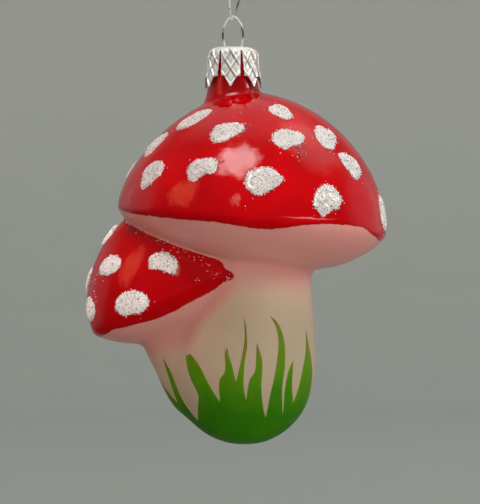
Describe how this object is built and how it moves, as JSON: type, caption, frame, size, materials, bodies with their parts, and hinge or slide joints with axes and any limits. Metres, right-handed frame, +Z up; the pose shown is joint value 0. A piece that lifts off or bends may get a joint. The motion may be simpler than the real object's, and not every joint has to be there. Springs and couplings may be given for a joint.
{
  "type": "mushroom christmas ornament",
  "caption": "Blown-glass toadstool ornament with a small toadstool at its side, raised glitter spots, a petalled crown cap, a sprung wire loop and a wire hook for hanging on a branch.",
  "frame": {"origin": "inside top of the hook's upper bend, where the branch sits", "axes": "+Z up, -Y towards the front, +X to the right seen from the front, away from the small toadstool"},
  "size_m": [0.0757, 0.0672, 0.1294],
  "materials": {
    "hook_wire": "bright drawn wire",
    "hanger_wire": "bright spring wire",
    "crown_tin": "bright pressed tin",
    "painted_glass": "opaque: red lacquer over silvering on both caps, matte pink undersides, pearl cream stem with painted grass",
    "glitter": "crushed glass glitter bedded in glue"
  },
  "bodies": {
    "hook": {"hook": "hook_wire"},
    "hanger": {"hanger_wire": "hanger_wire"},
    "crown": {"crown_cap": "crown_tin"},
    "glass": {"glass_body": "painted_glass", "glitter_large_01": "glitter", "glitter_large_02": "glitter", "glitter_large_03": "glitter", "glitter_large_04": "glitter", "glitter_large_05": "glitter", "glitter_large_06": "glitter", "glitter_large_07": "glitter", "glitter_large_08": "glitter", "glitter_large_09": "glitter", "glitter_large_10": "glitter", "glitter_large_11": "glitter", "glitter_large_12": "glitter", "glitter_large_13": "glitter", "glitter_large_14": "glitter", "glitter_large_15": "glitter", "glitter_large_16": "glitter", "glitter_large_17": "glitter", "glitter_large_18": "glitter", "glitter_large_19": "glitter", "glitter_large_20": "glitter", "glitter_large_21": "glitter", "glitter_large_22": "glitter", "glitter_large_23": "glitter", "glitter_small_01": "glitter", "glitter_small_02": "glitter", "glitter_small_03": "glitter", "glitter_small_04": "glitter", "glitter_small_05": "glitter", "glitter_small_06": "glitter", "glitter_small_07": "glitter", "glitter_small_08": "glitter", "glitter_small_09": "glitter"}
  },
  "joints": [
    {"name": "hanger_swing", "type": "hinge", "parent": "hook", "child": "hanger", "pos_m": [0, 0, -0.02214], "axis": [1, 0, 0], "range_deg": [-70, 70]},
    {"name": "crown_slide", "type": "slide", "parent": "hanger", "child": "crown", "axis": [0, 0, 1], "range_m": [0, 0.0025]},
    {"name": "glass_pull", "type": "slide", "parent": "crown", "child": "glass", "axis": [0, 0, -1], "range_m": [0, 0.02]}
  ]
}
